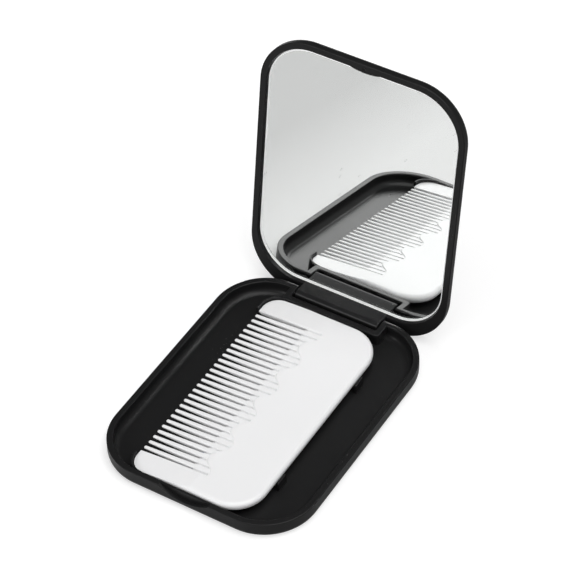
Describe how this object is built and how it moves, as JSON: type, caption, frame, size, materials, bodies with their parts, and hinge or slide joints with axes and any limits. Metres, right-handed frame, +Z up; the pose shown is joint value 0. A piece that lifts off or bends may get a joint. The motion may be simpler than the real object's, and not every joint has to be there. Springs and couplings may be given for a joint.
{
  "type": "pocket mirror comb",
  "caption": "Slim pocket compact: a rounded rectangular tray that holds a thin-toothed comb, with a hinged lid that carries a mirror.",
  "frame": {"origin": "Middle of the flat underside of the tray, which rests on the table.", "axes": "+Z is up. +Y points from the thumb scoop at the front to the hinge at the back. +X points right, from the comb's tooth tips to its spine. The lid stands open, as in the picture."},
  "size_m": [0.075, 0.1187, 0.0969],
  "materials": {
    "case_plastic": "satin black moulded ABS",
    "comb_plastic": "white moulded plastic with a soft gloss",
    "mirror": "silvered glass with ground edges",
    "tape": "thin double-sided foam tape",
    "pin_steel": "plain drawn steel"
  },
  "bodies": {
    "tray": {"tray_shell": "case_plastic", "comb": "comb_plastic", "hinge_pin_left": "pin_steel", "hinge_pin_right": "pin_steel"},
    "lid": {"lid_shell": "case_plastic", "mirror_glass": "mirror", "mirror_tape_left": "tape", "mirror_tape_right": "tape"}
  },
  "joints": [
    {"name": "lid_hinge", "type": "hinge", "parent": "tray", "child": "lid", "pos_m": [0, 0.0469, 0.00296], "axis": [1, 0, 0], "range_deg": [0, 99.3]}
  ]
}
